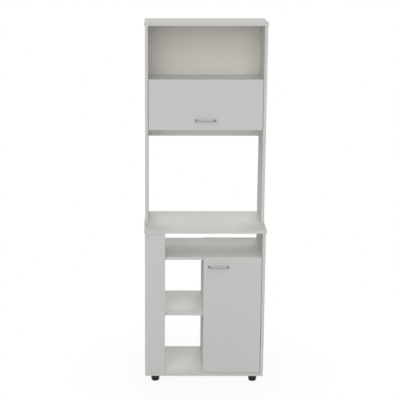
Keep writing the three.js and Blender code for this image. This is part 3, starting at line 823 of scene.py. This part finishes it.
def dressed(node, material, radius, segments):
    """A copy of a CAD node's mesh with its sharp edges rounded."""
    form = whole_faces(node)
    sharp = [edge for edge in form.edges if len(edge.link_faces) == 2
             and edge.calc_face_angle() > math.radians(SHARP_TURN)]
    bmesh.ops.bevel(form, geom=sharp, offset=radius, offset_type="OFFSET", segments=segments,
                    profile=0.5, affect="EDGES", clamp_overlap=True)
    bmesh.ops.dissolve_degenerate(form, dist=WELD, edges=form.edges)
    return soften(mesh_of(node + "_piece", form, material))


LEVELS, SIDES, HINGE_PARTS = ("upper", "lower"), ("left", "right"), ("cup", "arm", "plate")
STEEL_NODES = [f"shelf_pin_{side}_{row}" for side in SIDES for row in ("front", "rear")]
STEEL_NODES += [f"door_hinge_{part}_{level}" for part in HINGE_PARTS for level in LEVELS]
STEEL_NODES += [f"flap_hinge_{part}_{side}" for part in HINGE_PARTS for side in SIDES]
STEEL_NODES += ["flap_stay_stud", "flap_stay_bracket"]
for node in STEEL_NODES:
    piece(node + "_steel", dressed(node, PLATED_STEEL, STEEL_ARRIS, segments=2),
          "fitting_steel", node)

# Screws stand on each cup's flange and on each plate's two wings, over the plain heads there.
PLATE_WING = 0.002                     # thickness of a wing
PLATE_SCREWS = (-0.016, 0.016)         # to either side of the hinge's middle
CUP_SCREWS = (-0.024, 0.024)
CUP_SCREW_HEAD = 0.0014                # height of a plain head over the flange
CUP_SCREW_INSET = 0.0285               # from the panel's edge
BRACKET_SCREWS = (-0.005, 0.005)
BRACKET_SCREW_INSET = 0.015
door_levels = [middle_of("door_hinge_plate_" + level)[Z] for level in LEVELS]
flap_spots = [middle_of("flap_hinge_plate_" + side)[X] for side in SIDES]

plate_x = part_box("door_hinge_plate_upper")[1].x - PLATE_WING
plate_y = middle_of("door_hinge_plate_upper")[Y]
fixings("door_plate_screws", "cabinet", STEEL_FINISH, LEFTWARD,
        [(plate_x, plate_y, level + half) for level in door_levels for half in PLATE_SCREWS],
        DOME_SCREW)
plate_y = middle_of("flap_hinge_plate_left")[Y]
plate_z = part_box("flap_hinge_plate_left")[1].z - PLATE_WING
fixings("flap_plate_screws", "cabinet", STEEL_FINISH, DOWNWARD,
        [(spot + half, plate_y, plate_z) for spot in flap_spots for half in PLATE_SCREWS],
        DOME_SCREW)
cup_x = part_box("door")[1].x - CUP_SCREW_INSET
cup_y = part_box("door_hinge_cup_upper")[1].y - CUP_SCREW_HEAD
fixings("door_cup_screws", "door", STEEL_FINISH, BACKWARD,
        [(cup_x, cup_y, level + half) for level in door_levels for half in CUP_SCREWS], DOME_SCREW)
cup_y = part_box("flap_hinge_cup_left")[1].y - CUP_SCREW_HEAD
cup_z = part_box("flap")[1].z - CUP_SCREW_INSET
fixings("flap_cup_screws", "flap", STEEL_FINISH, BACKWARD,
        [(spot + half, cup_y, cup_z) for spot in flap_spots for half in CUP_SCREWS], DOME_SCREW)
bracket_low, bracket_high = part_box("flap_stay_bracket")
bracket_x, bracket_z = bracket_high.x - BRACKET_SCREW_INSET, middle_of("flap_stay_bracket")[Z]
fixings("stay_bracket_screws", "flap", STEEL_FINISH, BACKWARD,
        [(bracket_x, bracket_low.y + PLATE_WING, bracket_z + half) for half in BRACKET_SCREWS],
        DOME_SCREW)

# ---------------------------------------------------------------- bow handles
# Satin chrome bars, one on the door and one on the flap. Each is bent from one 8 mm rod, stands on
# two round feet and is held by two screws from behind.

# The chrome's grey is far darker than real chrome: painted shade that stands in for dark
# surroundings in its reflections.
SHADED_CHROME_GREY = (0.25, 0.252, 0.256)
HANDLE_RADIUS = 0.004
HANDLE_BEND = 0.009
HANDLE_FOOT_RADIUS = 0.005
HANDLE_FOOT_HEIGHT = 0.003
HANDLE_SCREW = {"Radius": 0.004, "Height": 0.0021, "Sink": 0.0003, "Crown": 1.7,
                "Cross_Length": 0.0046, "Cross_Width": 0.001, "Cross_Depth": 0.0014,
                "Shank_Radius": 0.0019, "Shank_Length": 0.0225}


def satin_chrome():
    """Chrome plate over a brushed bar, in a grey darkened as painted shade: fine scratches round it
    and a soft sheen.
    """
    material, shade, surface = new_material("satin_chrome", Metallic=1.0)
    where = place_of(shade)
    scratches = noise(shade, where, size=0.0005, detail=3.0)
    smears = noise(shade, where, size=0.03)
    colour = smears.blend(tone(SHADED_CHROME_GREY, 0.95), tone(SHADED_CHROME_GREY, 1.04))
    feed(shade, surface, Base_Color=colour, Roughness=0.12 + 0.08 * smears + 0.05 * scratches,
         Normal=relief(shade, scratches, depth=0.000006))
    return material


SATIN_CHROME = satin_chrome()


def handle_tree():
    """A rod along a bent line, and a round foot on each of the line's two ends."""
    tree, steps, given = growth("bow_handle", "Line", (
        "Bend", "Radius", "Foot Radius", "Foot Height"), "Handle")
    line, bend, radius, foot_radius, foot_height, material = given
    curve = steps.node("GeometryNodeMeshToCurve", {}, line)
    bent = steps.node("GeometryNodeFilletCurve", {}, Curve=curve, Radius=bend, Count=14)
    bar = steps.node("GeometryNodeCurvePrimitiveCircle", {}, Resolution=24, Radius=radius)
    rod = steps.node("GeometryNodeCurveToMesh", {}, bent, bar, **{"Fill Caps": True})
    disc = steps.node("GeometryNodeMeshCylinder", {}, Vertices=32, Radius=foot_radius,
                      Depth=foot_height)
    upright = steps.node("GeometryNodeTransform", {}, disc, Rotation=(math.pi / 2, 0.0, 0.0))
    at_ends = steps.node("GeometryNodeCurveEndpointSelection", {}, 1, 1)
    ends = steps.node("GeometryNodeInstanceOnPoints", {},
                      steps.node("GeometryNodeCurveToPoints", {"mode": "EVALUATED"}, curve),
                      at_ends, upright)
    whole = steps.node("GeometryNodeJoinGeometry", {}, rod)
    add_to(whole, ends)
    end_growth(steps, whole, material)
    return tree


HANDLE_TREE = handle_tree()

for panel in ("door", "flap"):
    node = panel + "_handle"
    low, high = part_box(node)
    z = middle_of(node)[Z]
    left, right = low.x + HANDLE_FOOT_RADIUS, high.x - HANDLE_FOOT_RADIUS
    front, back = low.y + HANDLE_RADIUS, high.y - HANDLE_FOOT_HEIGHT / 2
    line = bpy.data.meshes.new("handle_line")
    line.from_pydata([(left, back, z), (left, front, z), (right, front, z), (right, back, z)],
                     [(0, 1), (1, 2), (2, 3)], [])
    mesh = grown(HANDLE_TREE, line, Bend=HANDLE_BEND, Radius=HANDLE_RADIUS,
                 Foot_Radius=HANDLE_FOOT_RADIUS, Foot_Height=HANDLE_FOOT_HEIGHT,
                 Material=SATIN_CHROME)
    piece(node + "_bar", soften(mesh), "satin_chrome", node)
    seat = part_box(panel)[1].y + HANDLE_SCREW["Sink"]
    fixings(node + "_screws", None, STEEL_FINISH, BACKWARD, [(left, seat, z), (right, seat, z)],
            HANDLE_SCREW, node + "_screw_left", node + "_screw_right")

# ---------------------------------------------------------------- flap's gas stay
# A sealed black cylinder with a chromed rod. One eye sits on the side panel's stud, the other
# beside the flap's bracket.

STAY_BLACK = (0.016, 0.016, 0.018)
STAY_EYE = 0.005                       # radius of the eye at either end
STAY_EYE_BORE = 2.8
STAY_TUBE_OUTLINE = ((0, 4), (4.2, 4), "arc", (6, 5.8), (6, 135.2), (5.6, 136.9), (4.6, 137.8),
                     (3.9, 138), (3.3, 137.6), (3.3, 10), (0, 10))
STAY_SIDES = 48
PLUNGER_SIDES = 32


def satin_black():
    """Baked black paint on drawn steel, slightly rubbed."""
    material, shade, surface = new_material("stay_paint")
    where = place_of(shade)
    peel = noise(shade, where, size=0.0012)
    rubbed = noise(shade, where, size=0.02, detail=3.0).between(0.5, 0.8)
    colour = (rubbed * 0.5).blend(tone(STAY_BLACK), (0.05, 0.05, 0.055, 1.0))
    feed(shade, surface, Base_Color=colour, Roughness=0.3 + 0.15 * rubbed,
         Normal=relief(shade, peel, depth=0.00002))
    return material


STAY_PAINT = satin_black()


def stay_eye(pivot, bore):
    """A flat-sided ring across the stay's end, with rounded rims, or a disc if it has no bore."""
    outline = ((bore, -3), (4.4, -3), (5, -2.4), (5, 2.4), (4.4, 3), (bore, 3))
    return in_place(turned(outline, STAY_SIDES, ring=bore > 0), pivot, RIGHTWARD)


tube_low, tube_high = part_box("flap_stay_cylinder")
rod_low, rod_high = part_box("flap_stay_rod")
stay_x = middle_of("flap_stay_cylinder")[X]
fixed_pivot = Vector((stay_x, tube_high.y - STAY_EYE, tube_low.z + STAY_EYE))
moving_pivot = Vector((stay_x, rod_low.y + STAY_EYE, rod_high.z - STAY_EYE))
stay_way = moving_pivot - fixed_pivot
stay_length = stay_way.length * PER_METRE
plunger_outline = ((0, 16), (3, 16), (3, stay_length - 9), (2.4, stay_length - 8.4),
                   (2.4, stay_length - 7.4), (3, stay_length - 6.8), (3, stay_length - 4),
                   (0, stay_length - 4))
tube = in_place(turned(STAY_TUBE_OUTLINE, STAY_SIDES), fixed_pivot, stay_way)
plunger = in_place(turned(plunger_outline, PLUNGER_SIDES), fixed_pivot, stay_way)
piece("flap_stay_tube",
      meshed("flap_stay_tube", STAY_PAINT, tube, stay_eye(fixed_pivot, STAY_EYE_BORE)),
      "stay_paint", "flap_stay_cylinder")
piece("flap_stay_plunger",
      meshed("flap_stay_plunger", SATIN_CHROME, plunger, stay_eye(moving_pivot, 0)),
      "satin_chrome", "flap_stay_rod")

# ---------------------------------------------------------------- bumpers
# Clear soft plastic domes that keep the door and the flap from knocking. Each is glued by its flat
# back to a closing corner.

BUMPER_ROUNDING = 0.0012


def soft_clear():
    """Soft plastic, a little cloudy, that light enters."""
    material, shade, surface = new_material("bumper_rubber", **{
        "Subsurface Weight": 0.3, "Subsurface Radius": (0.002, 0.002, 0.002)})
    milk = noise(shade, place_of(shade), size=0.003)
    feed(shade, surface, Base_Color=milk.blend((0.74, 0.74, 0.71, 1.0), (0.82, 0.82, 0.80, 1.0)),
         Roughness=0.35 + 0.1 * milk)
    return material


BUMPER_RUBBER = soft_clear()

for node in ("door_bumper_lower", "door_bumper_upper", "flap_bumper_left", "flap_bumper_right"):
    piece(node + "_dome", dressed(node, BUMPER_RUBBER, BUMPER_ROUNDING, segments=4),
          "bumper_rubber", node)

# ---------------------------------------------------------------- finish
# The box of this model, in metres.

low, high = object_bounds()
